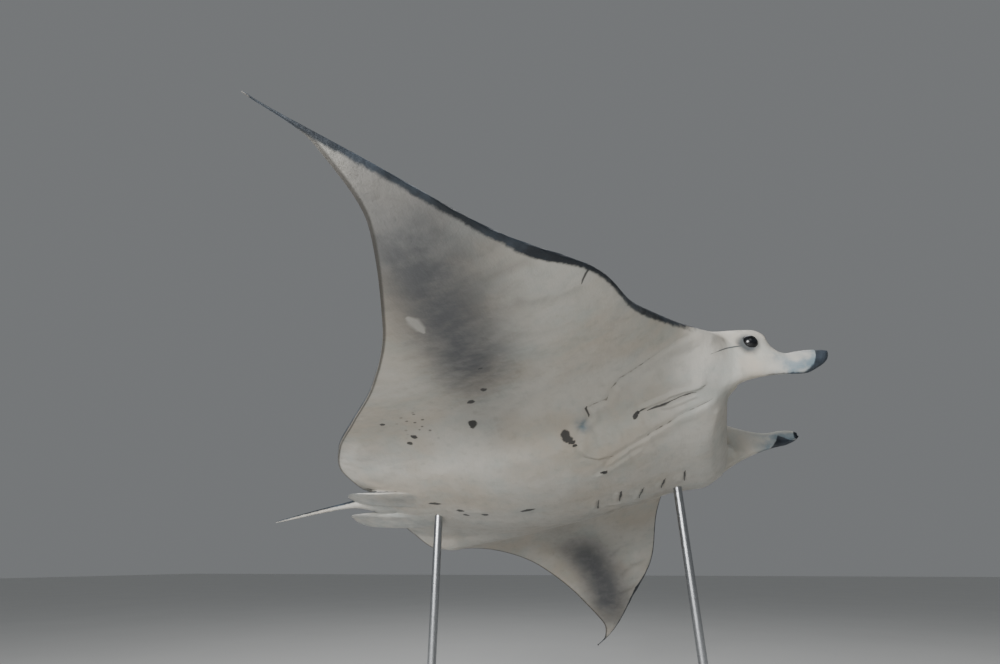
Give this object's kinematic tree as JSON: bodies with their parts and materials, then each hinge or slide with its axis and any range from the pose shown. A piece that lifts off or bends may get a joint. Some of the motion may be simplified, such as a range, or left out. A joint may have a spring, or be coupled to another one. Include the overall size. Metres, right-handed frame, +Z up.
{
  "type": "manta ray",
  "caption": "Still, life-size manta ray banked in a swimming turn, wings down, cephalic lobes held forward, on a flat base with two rods up to its belly.",
  "frame": {"origin": "middle of the stand base's underside, on the floor", "axes": "+X ahead, the way the manta ray swims; +Y to its left; +Z up from the floor"},
  "size_m": [2.1977, 3.1073, 1.3969],
  "materials": {
    "pale_skin": "matt to satin skin, warm off-white below, charcoal above",
    "dark_skin": "matt charcoal skin",
    "eye_surface": "wet, near-black eye",
    "stand_wood": "dark oiled board with a satin finish",
    "rod_steel": "brushed stainless rod and flanges"
  },
  "bodies": {
    "root": {"head": "pale_skin", "lower_jaw": "pale_skin", "trunk": "pale_skin", "wing_left": "pale_skin", "wing_right": "pale_skin", "cephalic_lobe_left": "pale_skin", "cephalic_lobe_right": "pale_skin", "pelvic_fin_left": "pale_skin", "pelvic_fin_right": "pale_skin", "dorsal_fin": "dark_skin", "tail": "dark_skin", "eye_left": "eye_surface", "eye_right": "eye_surface", "stand_base": "stand_wood", "stand_flange_front": "rod_steel", "stand_flange_rear": "rod_steel", "stand_rod_front": "rod_steel", "stand_rod_rear": "rod_steel"}
  },
  "joints": []
}
